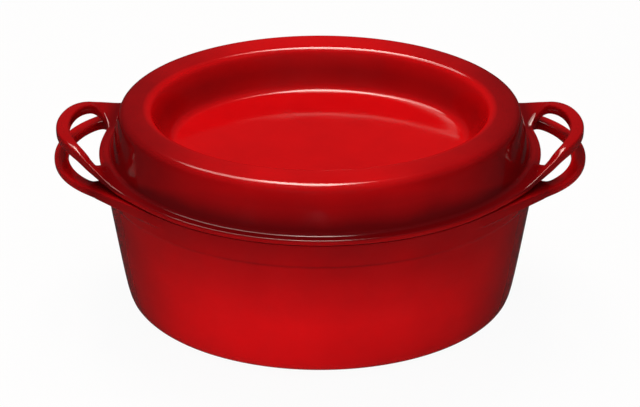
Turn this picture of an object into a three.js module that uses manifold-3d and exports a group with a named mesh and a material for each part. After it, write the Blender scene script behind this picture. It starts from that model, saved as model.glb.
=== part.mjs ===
// Oval cast-iron casserole with a deep-welled lid, enamelled red outside and black inside.
// Millimetres, +Z up. The origin is the middle of the foot, on the hob. +X runs along the oval.
// The pot and the lid are one casting each, with their loop handles cast in one.

import * as THREE from "three";
import { mergeVertices } from "three/addons/utils/BufferGeometryUtils.js";
import Module from "manifold-3d";

const wasm = await Module();
wasm.setup();

// Rim oval, outside and without the handles
const RIM_LENGTH = 320;
const RIM_WIDTH = 252;

// Pot: heights stand on the hob, and insets are measured in from the rim oval
const POT_HEIGHT = 124.8;
const RIM_SET_BACK = 0.9;
const FOOT_INSET = 16.7;
const FOOT_CORNER = 17;
const FOOT_BAND = 10;
const FOOT_RECESS = 1;
const RIM_LAND = 5.6;
const RIM_ROUND = 0.8;
const POT_WALL = 4.6;
const POT_FLOOR = 5.5;
const CAVITY_CORNER = 13;

// Lid: heights stand on the seat, the face that rests on the rim
const LID_HEIGHT = 37.4;
const FLANGE_THICKNESS = 5.1;
const FLANGE_ROUND = 1.4;
const LEDGE_AT_SIDES = 4.6;
const LEDGE_AT_ENDS = 8.2;
const LEDGE_FILLET = 2.4;
const RING_EDGE_INSET = 16.4;
const RING_EDGE_ROUND = 7;
const WELL_EDGE_INSET = 41;
const WELL_EDGE_ROUND = 6.5;
const WELL_FLOOR_INSET = 51;
const WELL_DEPTH = 29.8;
const WELL_FILLET = 8;
const LID_WALL = 4.6;
const UNDERSIDE_FILLET = 4;

// Locating lip under the lid, inside the pot's rim
const LIP_DEPTH = 6;
const LIP_DRAFT = 1;
const LIP_THICKNESS = 3;
const LIP_ROUND = 1.2;

// Loop handles: a horseshoe bar whose two feet run into the rim or the flange
const LOOP_CORNER = 6;
const LOOP_EDGE_ROUND = 2.6;
const POT_LOOP_REACH = 32.8;
const POT_LOOP_END_RADIUS = 61.5;
const POT_LOOP_BAR = 10.5;
const POT_LOOP_THICKNESS = 6.6;
const POT_LOOP_DROP = 0.1;
const POT_LOOP_ROOT = 3.2;
const POT_LOOP_FLARE = 4;
const POT_LOOP_FLARE_WIDTH = 14;
const LID_LOOP_REACH = 30.2;
const LID_LOOP_END_RADIUS = 54;
const LID_LOOP_BAR = 9.8;
const LID_LOOP_THICKNESS = 7;
const LID_LOOP_THICK_AT = 0.3;
const LID_LOOP_LIFT = 16.3;
const LID_LOOP_LEVEL_TO = 40;
const LID_LOOP_CLIMB_FROM = 80;
const LID_LOOP_CLIMB_EASE = 5;
const LID_LOOP_BLEND = 6;
const LID_LOOP_ROOT = 3;
const LID_LOOP_ROOT_RELIEF = 0.1;

// Drip nubs under the well, in oval rows
const NUB_RADIUS = 4;
const NUB_HEIGHT = 3;
const NUB_PITCH = 30;
const NUB_MARGIN = 12;

// Enamel coats and clearances
const COAT = 0.5;
const COAT_BOND = 0.05;
const COAT_EDGE = 1;
const SEAT_GAP = 0.3;
const LIP_CLEARANCE = 1.5;

// Facets
const OVAL_SEGMENTS = 48;
const ARC_TOLERANCE = 0.3;
const ARC_LEAST_STEPS = 2;
const LOOP_END_STEPS = 6;
const LOOP_SIDE_STEPS = 1;
const LOOP_CORNER_STEPS = 3;
const LOOP_FOOT_STEPS = 9;
const LOOP_ROOT_STEPS = 4;
const LOOP_EDGE_STEPS = 2;
const NUB_SIDES = 6;
const SEARCH_STEPS = 50;

// Sizes that follow from the values above
const HALF_LENGTH = RIM_LENGTH / 2;
const HALF_WIDTH = RIM_WIDTH / 2;
const SEAT = POT_HEIGHT + SEAT_GAP;
const COAT_SET = COAT + COAT_BOND;
const LEDGE_END_EXTRA = LEDGE_AT_ENDS - LEDGE_AT_SIDES;
const WELL_FLOOR = LID_HEIGHT - WELL_DEPTH;
const LIP_OUTER_INSET = RIM_LAND + LIP_CLEARANCE;
const LIP_INNER_INSET = LIP_OUTER_INSET + LIP_DRAFT + LIP_THICKNESS;
const FOOT_RING_INSET = FOOT_INSET + FOOT_CORNER + FOOT_BAND;

// Finishes
const redEnamel = new THREE.MeshStandardMaterial({ color: 0xb01016, roughness: 0.15, metalness: 0 });
const blackEnamel = new THREE.MeshStandardMaterial({ color: 0x17171a, roughness: 0.5, metalness: 0 });

// A profile is a list of points { inset, z, end }: the inset from the rim oval all round, the
// height, and what is added to the inset at the two ends of the oval. It starts on a flat floor.

// Turns each corner that has a radius into an arc
function roundedProfile(corners) {
  const at = ({ inset, z, end = 0 }) => new THREE.Vector3(inset, z, end);
  const flat = (v) => new THREE.Vector2(v.x, v.y);
  const points = corners.flatMap((corner, i) => {
    const here = at(corner);
    if (!corner.radius) return [here];
    const before = at(corners[i - 1]).sub(here);
    const after = at(corners[i + 1]).sub(here);
    const toBefore = flat(before).normalize();
    const toAfter = flat(after).normalize();
    const turn = Math.PI - Math.acos(toBefore.dot(toAfter));
    const reach = corner.radius * Math.tan(turn / 2);
    const start = here.clone().addScaledVector(before, reach / flat(before).length());
    const finish = here.clone().addScaledVector(after, reach / flat(after).length());
    const inward = toBefore.add(toAfter).normalize();
    const centre = flat(here).addScaledVector(inward, corner.radius / Math.cos(turn / 2));
    const startAngle = flat(start).sub(centre).angle();
    const wholeTurn = 2 * Math.PI;
    const swept = flat(finish).sub(centre).angle() - startAngle;
    const sweep = swept - wholeTurn * Math.round(swept / wholeTurn);
    const widestStep = 2 * Math.acos(Math.max(0, 1 - ARC_TOLERANCE / corner.radius));
    const steps = Math.max(ARC_LEAST_STEPS, Math.ceil(turn / widestStep));
    return Array.from({ length: steps + 1 }, (_, k) => {
      const angle = startAngle + (sweep * k) / steps;
      const x = centre.x + corner.radius * Math.cos(angle);
      const z = centre.y + corner.radius * Math.sin(angle);
      return new THREE.Vector3(x, z, THREE.MathUtils.lerp(start.z, finish.z, k / steps));
    });
  });
  return points.map((p) => ({ inset: p.x, z: p.y, end: p.z }));
}

// Moves a profile that runs out from the middle up by a distance, square to itself
function raisedProfile(profile, distance) {
  const square = (from, to) => new THREE.Vector2(to.z - from.z, from.inset - to.inset).normalize();
  return profile.map((point, i) => {
    const before = i > 0 ? square(profile[i - 1], point) : new THREE.Vector2(0, 1);
    const after = i < profile.length - 1 ? square(point, profile[i + 1]) : before;
    const move = before.clone().add(after).multiplyScalar(distance / (1 + before.dot(after)));
    return { ...point, inset: point.inset + move.x, z: point.z + move.y };
  });
}

// Carries a profile round the oval. It runs out from the middle over the top and back below.
function ovalLoft(profile) {
  const positions = [];
  const triangles = [];
  profile.forEach(({ inset, z, end = 0 }) => {
    for (let j = 0; j < OVAL_SEGMENTS; j += 1) {
      const angle = (2 * Math.PI * j) / OVAL_SEGMENTS;
      const x = (HALF_LENGTH - inset - end) * Math.cos(angle);
      positions.push(x, (HALF_WIDTH - inset) * Math.sin(angle), z);
    }
  });
  const last = profile.length - 1;
  const topMiddle = positions.length / 3;
  positions.push(0, 0, profile[0].z, 0, 0, profile[last].z);
  for (let j = 0; j < OVAL_SEGMENTS; j += 1) {
    const next = (j + 1) % OVAL_SEGMENTS;
    triangles.push(topMiddle, j, next);
    for (let i = 0; i < last; i += 1) {
      const near = i * OVAL_SEGMENTS;
      const far = near + OVAL_SEGMENTS;
      const [a, b, c, d] = [near + j, far + j, far + next, near + next];
      // The diagonal climbs the same way on a coat as on the casting that it lies against
      if (profile[i + 1].z > profile[i].z) triangles.push(a, b, c, a, c, d);
      else triangles.push(a, b, d, b, c, d);
    }
    triangles.push(topMiddle + 1, last * OVAL_SEGMENTS + next, last * OVAL_SEGMENTS + j);
  }
  return indexedGeometry(positions, triangles);
}

function indexedGeometry(positions, triangles) {
  const geometry = new THREE.BufferGeometry();
  geometry.setAttribute("position", new THREE.Float32BufferAttribute(positions, 3));
  geometry.setIndex(triangles);
  return geometry;
}

function toSolid(geometry) {
  const bare = geometry.clone();
  bare.deleteAttribute("normal");
  bare.deleteAttribute("uv");
  const merged = mergeVertices(bare);
  const vertProperties = merged.attributes.position.array;
  const triVerts = Uint32Array.from(merged.index.array);
  return new wasm.Manifold(new wasm.Mesh({ numProp: 3, vertProperties, triVerts }));
}

// Joins a piece's geometries into one body and names it
function namedPiece(name, material, geometries) {
  const [first, ...others] = geometries.map(toSolid);
  const mesh = others.reduce((whole, part) => whole.add(part), first).getMesh();
  const geometry = indexedGeometry(mesh.vertProperties, Array.from(mesh.triVerts));
  geometry.computeVertexNormals();
  const piece = new THREE.Mesh(geometry, material);
  piece.name = name;
  return piece;
}

// Finds where a rising function crosses zero
function crossing(rising, low, high) {
  let [below, above] = [low, high];
  for (let i = 0; i < SEARCH_STEPS; i += 1) {
    const middle = (below + above) / 2;
    if (rising(middle) > 0) above = middle;
    else below = middle;
  }
  return (below + above) / 2;
}

const direction = (angle) => new THREE.Vector2(Math.cos(angle), Math.sin(angle));
const ovalPoint = (halfLength, halfWidth, angle) =>
  direction(angle).multiply({ x: halfLength, y: halfWidth });

// Plan of the loop at the +X end, from above. Its outer edge is the line that touches both the rim
// oval and the loop's end circle. Its inner edge runs a bar's width inside that and turns onto the
// rim in a round corner. Its feet reach in to the root oval. The outline's points are { place,
// inward }: inward points from a free edge into the bar, and is zero along the root. The outline
// starts at the tip, and down to the round corners its points lie in pairs across the bar. along
// tells how far a point lies from the tip, measured along the bar.
function loopPlan({ setBack, reach, endRadius, bar, rootAtEnds, rootAtSides }) {
  const halfLength = HALF_LENGTH - setBack;
  const halfWidth = HALF_WIDTH - setBack;
  const endCentre = new THREE.Vector2(HALF_LENGTH + reach - endRadius, 0);
  const onRim = (angle) => ovalPoint(halfLength, halfWidth, angle);
  const onRoot = (angle) => ovalPoint(HALF_LENGTH - rootAtEnds, HALF_WIDTH - rootAtSides, angle);
  const onCircle = (centre, radius) => (angle) => direction(angle).multiplyScalar(radius).add(centre);

  // Where the straight sides face, and where they touch the rim
  const rimReach = (angle) => onRim(angle).length();
  const sideReach = (angle) => endCentre.dot(direction(angle)) + endRadius;
  const facing = crossing((angle) => rimReach(angle) - sideReach(angle), 0, Math.PI / 2);
  const side = direction(facing);
  const touch = Math.atan2(halfWidth * side.y, halfLength * side.x);

  // Where the round corner between the bar and the rim lies
  const awayFromRim = (angle) => ovalPoint(halfWidth, halfLength, angle).normalize();
  const cornerAt = (angle) => onRim(angle).addScaledVector(awayFromRim(angle), LOOP_CORNER);
  const cornerReach = sideReach(facing) - bar - LOOP_CORNER;
  const cornerFoot = crossing((angle) => cornerAt(angle).dot(side) - cornerReach, 0, touch);
  const corner = cornerAt(cornerFoot);
  const cornerStart = onRim(cornerFoot).sub(corner).angle();

  const half = [];
  const arc = (pointAt, from, to, steps, inwardSign) => {
    for (let k = 0; k < steps; k += 1) {
      const angle = THREE.MathUtils.lerp(from, to, k / steps);
      half.push({ place: pointAt(angle), inward: direction(angle).multiplyScalar(inwardSign) });
    }
  };
  const line = (from, to, steps, inward) => {
    for (let k = 0; k < steps; k += 1) {
      half.push({ place: from.clone().lerp(to, k / steps), inward });
    }
  };
  const outerEnd = onCircle(endCentre, endRadius);
  const innerEnd = onCircle(endCentre, endRadius - bar);
  const cornerTurn = onCircle(corner, LOOP_CORNER);
  const fromOuterSide = side.clone().negate();
  const acrossFromCorner = cornerTurn(facing).addScaledVector(side, bar);
  arc(outerEnd, 0, facing, LOOP_END_STEPS, -1);
  line(outerEnd(facing), acrossFromCorner, LOOP_SIDE_STEPS, fromOuterSide);
  line(acrossFromCorner, onRim(touch), LOOP_FOOT_STEPS, fromOuterSide);
  half.push({ place: onRim(touch), inward: fromOuterSide });
  arc(onRoot, touch, cornerFoot, LOOP_ROOT_STEPS, 0);
  half.push({ place: onRoot(cornerFoot), inward: new THREE.Vector2() });
  arc(cornerTurn, cornerStart, facing, LOOP_CORNER_STEPS, 1);
  line(cornerTurn(facing), innerEnd(facing), LOOP_SIDE_STEPS, side);
  arc(innerEnd, facing, 0, LOOP_END_STEPS, 1);
  half.push({ place: innerEnd(0), inward: direction(0) });

  const flip = ({ x, y }) => new THREE.Vector2(x, -y);
  const mirrored = half
    .slice(1, -1)
    .map(({ place, inward }) => ({ place: flip(place), inward: flip(inward) }));

  const sideRun = direction(facing + Math.PI / 2);
  const along = (x, y) => {
    const fromCentre = new THREE.Vector2(x, Math.abs(y)).sub(endCentre);
    const roundTheEnd = Math.min(fromCentre.angle(), facing) * (endRadius - bar / 2);
    return roundTheEnd + Math.max(0, fromCentre.dot(sideRun));
  };
  return { outline: [...half, ...mirrored.reverse()], along };
}

// Both loops of a casting: the plan in layers whose free edges are rounded off. heightAt turns a
// plan point and a level, from -1 on the underside to 1 on the top, into a height.
function loopPair(outline, thickness, heightAt) {
  const edgeRise = LOOP_EDGE_ROUND / (thickness / 2);
  const lower = Array.from({ length: LOOP_EDGE_STEPS + 1 }, (_, k) => {
    const edge = direction((Math.PI / 2) * (k / LOOP_EDGE_STEPS));
    return { level: edgeRise * (1 - edge.x) - 1, shrink: LOOP_EDGE_ROUND * (1 - edge.y) };
  });
  const upper = lower.map(({ level, shrink }) => ({ level: -level, shrink })).reverse();
  const layers = [...lower, ...upper];
  const slices = layers.map(({ shrink }) =>
    outline.map(({ place, inward }) => place.clone().addScaledVector(inward, shrink)),
  );
  const positions = slices.flatMap((slice, i) =>
    slice.flatMap(({ x, y }) => [x, y, heightAt(x, y, layers[i].level)]),
  );
  const count = outline.length;
  const top = (layers.length - 1) * count;
  const triangles = [];
  const mirror = (i) => (count - i) % count;
  const face = (a, b, c) => triangles.push(top + a, top + b, top + c, a, c, b);
  const facePair = (a, b, c) => {
    face(a, b, c);
    face(mirror(a), mirror(c), mirror(b));
  };
  const innerTip = count / 2;
  const freeRows = LOOP_END_STEPS + LOOP_SIDE_STEPS;
  for (let i = 0; i < freeRows; i += 1) {
    facePair(i, i + 1, innerTip - i);
    facePair(i + 1, innerTip - i - 1, innerTip - i);
  }
  const foot = slices[0].slice(freeRows, innerTip - freeRows + 1);
  THREE.ShapeUtils.triangulateShape(foot, []).forEach((corners) => {
    facePair(...corners.map((corner) => freeRows + corner));
  });
  for (let base = 0; base < top; base += count) {
    for (let j = 0; j < count; j += 1) {
      const here = base + j;
      const next = base + ((j + 1) % count);
      triangles.push(here, next, next + count, here, next + count, here + count);
    }
  }
  const loop = indexedGeometry(positions, triangles);
  return [loop, loop.clone().rotateZ(Math.PI)];
}

// How far a plan point lies outside the rim oval
const outsideRim = (x, y) => (Math.hypot(x / HALF_LENGTH, y / HALF_WIDTH) - 1) * HALF_WIDTH;

// Pot loops: level, with an underside that flares down into the wall
function potLoops() {
  const root = RIM_SET_BACK + POT_LOOP_ROOT;
  const { outline } = loopPlan({
    setBack: RIM_SET_BACK,
    reach: POT_LOOP_REACH,
    endRadius: POT_LOOP_END_RADIUS,
    bar: POT_LOOP_BAR,
    rootAtEnds: root,
    rootAtSides: root,
  });
  const middle = POT_HEIGHT - COAT_SET - POT_LOOP_DROP - POT_LOOP_THICKNESS / 2;
  return loopPair(outline, POT_LOOP_THICKNESS, (x, y, level) => {
    const flare = 1 - THREE.MathUtils.smoothstep(outsideRim(x, y), 0, POT_LOOP_FLARE_WIDTH);
    return middle + (level * POT_LOOP_THICKNESS) / 2 + Math.min(0, level) * flare * POT_LOOP_FLARE;
  });
}

// A straight climb from 0 at low to 1 at high, with its two corners eased
function easedRamp(value, low, high, ease) {
  const risen = (past) => {
    const inEase = THREE.MathUtils.clamp(past + ease, 0, 2 * ease);
    return inEase ** 2 / (4 * ease) + Math.max(0, past - ease);
  };
  return (risen(value - low) - risen(value - high)) / (high - low);
}

// Lid loops: each bar leaves the flange, thickens, climbs in a straight ramp, and runs level at the tip
function lidLoops() {
  const { outline, along } = loopPlan({
    setBack: 0,
    reach: LID_LOOP_REACH,
    endRadius: LID_LOOP_END_RADIUS,
    bar: LID_LOOP_BAR,
    rootAtEnds: LEDGE_AT_ENDS + LID_LOOP_ROOT,
    rootAtSides: LEDGE_AT_SIDES + LID_LOOP_ROOT,
  });
  const rootThickness = FLANGE_THICKNESS - COAT_SET - 2 * LID_LOOP_ROOT_RELIEF;
  const middle = SEAT + FLANGE_THICKNESS - LID_LOOP_ROOT_RELIEF - rootThickness / 2;
  return loopPair(outline, LID_LOOP_THICKNESS, (x, y, level) => {
    const passed = easedRamp(along(x, y), LID_LOOP_LEVEL_TO, LID_LOOP_CLIMB_FROM, LID_LOOP_CLIMB_EASE);
    const climb = (1 - passed) * THREE.MathUtils.smoothstep(outsideRim(x, y), 0, LID_LOOP_BLEND);
    const thick = THREE.MathUtils.smoothstep(climb, 0, LID_LOOP_THICK_AT);
    const thickness = THREE.MathUtils.lerp(rootThickness, LID_LOOP_THICKNESS, thick);
    return middle + climb * LID_LOOP_LIFT + (level * thickness) / 2;
  });
}

// Drip nubs: low domes in oval rows, rooted halfway into the coat
function dripNubs(coatFace) {
  const dome = direction(Math.PI / 4);
  const nub = new THREE.LatheGeometry(
    [
      new THREE.Vector2(0, -NUB_HEIGHT),
      new THREE.Vector2(NUB_RADIUS * dome.x, -NUB_HEIGHT * dome.y),
      new THREE.Vector2(NUB_RADIUS, 0),
      new THREE.Vector2(NUB_RADIUS, COAT / 2),
      new THREE.Vector2(0, COAT / 2),
    ],
    NUB_SIDES,
  ).rotateX(Math.PI / 2);
  const nubs = [];
  for (let inset = WELL_FLOOR_INSET + NUB_MARGIN; inset < HALF_WIDTH - NUB_PITCH / 2; inset += NUB_PITCH) {
    const row = new THREE.EllipseCurve(0, 0, HALF_LENGTH - inset, HALF_WIDTH - inset);
    const places = row.getSpacedPoints(Math.round(row.getLength() / NUB_PITCH)).slice(1);
    nubs.push(...places.map(({ x, y }) => nub.clone().translate(x, y, coatFace)));
  }
  return nubs;
}

// Inside of the pot as it shows: the floor, the wall and the rim's top face
const cavity = roundedProfile([
  { inset: FOOT_INSET + POT_WALL + CAVITY_CORNER * 2, z: POT_FLOOR },
  { inset: FOOT_INSET + POT_WALL, z: POT_FLOOR, radius: CAVITY_CORNER },
  { inset: RIM_LAND, z: POT_HEIGHT, radius: RIM_ROUND },
  { inset: RIM_SET_BACK + COAT_EDGE, z: POT_HEIGHT },
]).slice(1);

// Outside of the pot: the rim's edge, the wall, the foot ring and the shallow recess inside it
const potOutside = roundedProfile([
  { inset: RIM_SET_BACK + COAT_EDGE, z: POT_HEIGHT - COAT_SET },
  { inset: RIM_SET_BACK, z: POT_HEIGHT - COAT_SET, radius: RIM_ROUND },
  { inset: FOOT_INSET, z: 0, radius: FOOT_CORNER },
  { inset: FOOT_RING_INSET, z: 0 },
  { inset: FOOT_RING_INSET + FOOT_RECESS, z: FOOT_RECESS },
]).slice(1);

// Top of the lid: the well, the ring round it, the ring's outer wall and the flange
const lidTopCorners = [
  { inset: WELL_FLOOR_INSET + WELL_FILLET * 2, z: SEAT + WELL_FLOOR },
  { inset: WELL_FLOOR_INSET, z: SEAT + WELL_FLOOR, radius: WELL_FILLET },
  { inset: WELL_EDGE_INSET, z: SEAT + LID_HEIGHT, radius: WELL_EDGE_ROUND },
  { inset: RING_EDGE_INSET, z: SEAT + LID_HEIGHT, radius: RING_EDGE_ROUND },
  { inset: LEDGE_AT_SIDES, z: SEAT + FLANGE_THICKNESS, end: LEDGE_END_EXTRA, radius: LEDGE_FILLET },
  { inset: 0, z: SEAT + FLANGE_THICKNESS, radius: FLANGE_ROUND },
  { inset: 0, z: SEAT + COAT_SET },
];
const lidTop = roundedProfile(lidTopCorners).slice(1);

// Underside of the lid as it shows: one wall's thickness below the well and the ring, down to the
// locating lip, and out along the seat
const shell = raisedProfile(lidTopCorners, -LID_WALL);
const [floorStart, floorCorner, hollowInner, hollowOuter, ledgeCorner] = shell.map((corner) => ({
  ...corner,
  radius: UNDERSIDE_FILLET,
}));
const wallShare = (hollowOuter.inset - LIP_INNER_INSET) / (hollowOuter.inset - ledgeCorner.inset);
const lipTop = THREE.MathUtils.lerp(hollowOuter.z, ledgeCorner.z, wallShare);
const lidUnderside = roundedProfile([
  { ...floorStart, radius: 0 },
  floorCorner,
  hollowInner,
  hollowOuter,
  { inset: LIP_INNER_INSET, z: lipTop, end: LEDGE_END_EXTRA },
  { inset: LIP_INNER_INSET, z: SEAT - LIP_DEPTH, end: LEDGE_END_EXTRA, radius: LIP_ROUND },
  { inset: LIP_OUTER_INSET + LIP_DRAFT, z: SEAT - LIP_DEPTH, radius: LIP_ROUND },
  { inset: LIP_OUTER_INSET, z: SEAT },
  { inset: COAT_EDGE, z: SEAT },
]).slice(1);

// The castings and their coats
const potCasting = ovalLoft([...raisedProfile(cavity, -COAT_SET), ...potOutside]);
const potCoat = ovalLoft([...cavity, ...raisedProfile(cavity, -COAT).reverse()]);
const lidCasting = ovalLoft([...lidTop, ...raisedProfile(lidUnderside, COAT_SET).reverse()]);
const lidCoat = ovalLoft([...raisedProfile(lidUnderside, COAT), ...[...lidUnderside].reverse()]);

const pot = new THREE.Group();
pot.add(namedPiece("pot", redEnamel, [potCasting, ...potLoops()]));
pot.add(namedPiece("pot_lining", blackEnamel, [potCoat]));

const lid = new THREE.Group();
lid.add(namedPiece("lid", redEnamel, [lidCasting, ...lidLoops()]));
lid.add(namedPiece("lid_lining", blackEnamel, [lidCoat, ...dripNubs(lidUnderside[0].z)]));

const casserole = new THREE.Group();
casserole.add(pot, lid);

export default casserole;
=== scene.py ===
from bisect import bisect_left
from collections import namedtuple
from functools import partial
from math import atan2, cos, hypot, pi, radians, sin, tan

import bmesh
import bpy
from bpy.props import FloatProperty, FloatVectorProperty, PointerProperty
from mathutils import Matrix, Vector


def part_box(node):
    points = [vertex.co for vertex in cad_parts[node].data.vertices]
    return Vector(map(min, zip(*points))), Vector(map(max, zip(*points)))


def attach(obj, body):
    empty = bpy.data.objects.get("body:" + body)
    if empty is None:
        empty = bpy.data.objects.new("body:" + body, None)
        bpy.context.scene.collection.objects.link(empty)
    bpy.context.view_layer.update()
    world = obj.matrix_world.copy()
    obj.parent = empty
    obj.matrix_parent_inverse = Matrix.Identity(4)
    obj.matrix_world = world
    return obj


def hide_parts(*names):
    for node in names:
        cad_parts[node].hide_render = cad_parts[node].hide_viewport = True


bl_info = {
    "name": "Oval casserole",
    "version": (1, 0, 0),
    "blender": (4, 5, 0),
    "location": "3D View > Sidebar > Casserole",
    "description": "Builds an enamelled oval casserole with a welled lid on its packed frame",
    "category": "Add Mesh",
}

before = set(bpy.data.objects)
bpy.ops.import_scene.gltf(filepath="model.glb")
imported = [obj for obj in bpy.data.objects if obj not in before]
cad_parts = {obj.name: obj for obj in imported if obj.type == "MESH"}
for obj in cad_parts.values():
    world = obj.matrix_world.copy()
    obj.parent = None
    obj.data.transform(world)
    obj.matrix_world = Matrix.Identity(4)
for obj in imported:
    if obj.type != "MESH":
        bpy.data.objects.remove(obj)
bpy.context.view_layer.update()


def highest(node):
    """Highest corner of a CAD node's box"""
    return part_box(node)[1]


# Sizes that the frame fixes. The lid's coat ends just inside the rim.
COAT_EDGE = 0.001
SEAT_GAP = 0.0003
RIM_HALF_LENGTH = highest("lid_lining").x + COAT_EDGE
POT_HEIGHT = highest("pot_lining").z
LID_HEIGHT = highest("lid").z - POT_HEIGHT - SEAT_GAP
POT_REACH = highest("pot").x - RIM_HALF_LENGTH
LID_REACH = highest("lid").x - RIM_HALF_LENGTH

# How finely the castings are built
RAYS_BEFORE_CORNER = 3
RAYS_IN_FOOT = 8
RAYS_AFTER_FOOT = 9
CORNER_STATIONS = 4
END_STATIONS = 7
ROUND_SEGMENTS = 3
SMOOTH_LEVELS = 2
NUB_SEGMENTS = 20
NUB_RINGS = 12
ARC_SAMPLES = 720
SEARCH_STEPS = 50
SAME_PLACE = 1e-5

# An edge of a loop is rounded where its faces turn by more than this
SHARP_TURN = radians(35)

# A coat's edges are shaded smooth up to this turn
SMOOTH_TURN = radians(40)

# How much of a floor's half width is left to one flat face in the middle
MIDDLE_SHARE = 0.4

# Where on the ledge a ring keeps it level next to the loops' feet
LEDGE_SUPPORT = 0.45

# Rings that keep the pot's wall straight: flares below the loops, and runs below the crease
FLARE_SUPPORT = 2.5
CREASE_SUPPORT = 4

# Shares of the climb at which the lid's loops have their full thickness and their full rounding
FULL_THICKNESS_AT = 0.7
FULL_ROUND_AT = 0.25

# How far out of the rim the pot's loops have their full rounding
FULL_ROUND_OUT = 0.008

# Where the painted shade in deep cherry comes and goes, from the middle or from the table, in metres
POT_SHADE_FROM = 0.05
POT_ENDS_FROM = 0.10
POT_LOOPS_FROM = 0.175
CREASE_SPAN = (0.0003, 0.0016)
CREASE_ENDS_SPAN = (0.05, 0.11)
LID_ENDS_SPAN = (0.04, 0.14)
LID_LOOPS_SPAN = (0.150, 0.175)
LID_SIDE_SPAN = (0.132, 0.157)
WELL_TOP_SPAN = (0.148, 0.160)

# The same on the lid, as a share of the way out to the well's top edge
WELL_FLOOR_SPAN = (0.86, 0.93)
WELL_EDGE_SPAN = (1.005, 1.045)
RING_SPAN = (1.19, 1.29)

# How much of the painted shade reaches the loops and the flange's edge
POT_LOOP_SHADE = 0.1
LID_LOOP_SHADE = 0.2
FLANGE_EDGE_SHADE = 0.3

# The enamels' roughness, over the span that holds most of a noise's values
NOISE_SPAN = (0.3, 0.7)
RED_ROUGHNESS = (0.07, 0.13)
BLACK_ROUGHNESS = (0.36, 0.5)

# The stage
FLOOR_SIZE = 12.0
FLOOR_ROUGHNESS = 0.9
HORIZON_SPAN = (0.2, 0.4)
CAMERA_PLACE = (0.0, -1.36809, 0.95446)
CAMERA_TILT = radians(57.3835)
POT_MIDDLE = (0.0, 0.0, 0.1)

# A lamp: its name, its power in watts, its place and size, where it looks, the angle it spreads over
# in degrees, and whether the enamel mirrors it
Lamp = namedtuple("Lamp", "name power place size aim spread mirrored", defaults=(POT_MIDDLE, 180, False))
LAMPS = (
    Lamp("bank", 8.5, (-0.2, 0.5, 1.45), (0.8, 0.8), mirrored=True),
    Lamp("bank_core", 7.5, (-0.04, 0.4, 1.43), (0.32, 0.9), mirrored=True),
    Lamp("top_fill", 6.5, (0.0, -0.35, 1.5), (1.2, 0.8)),
    Lamp("front_fill", 2.9, (0.0, -1.2, 0.55), (1.4, 0.5)),
    Lamp("low_beam", 0.05, (0.0, -1.0, 0.05), (0.3, 0.08), (0.0, 0.0, 0.03), 20),
    Lamp("low_left", 0.02, (-0.5, -0.9, 0.05), (0.15, 0.08), (-0.06, -0.1, 0.03), 18),
)

# A corner of a profile: its inset from the rim oval, its height, what is added to the inset at the
# two ends of the oval, and the radius that rounds it
Corner = namedtuple("Corner", "inset height end radius", defaults=(0.0, 0.0))


def setting(name, description, default, **kind):
    """A number that the sidebar shows"""
    return FloatProperty(name=name, description=description, default=default, **kind)


length = partial(setting, unit="LENGTH", precision=5)
fraction = partial(setting, subtype="FACTOR")


def colour(name, description, default):
    """A linear colour that the sidebar shows"""
    return FloatVectorProperty(
        name=name, description=description, default=default, subtype="COLOR", size=3, min=0.0, max=1.0
    )


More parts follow.
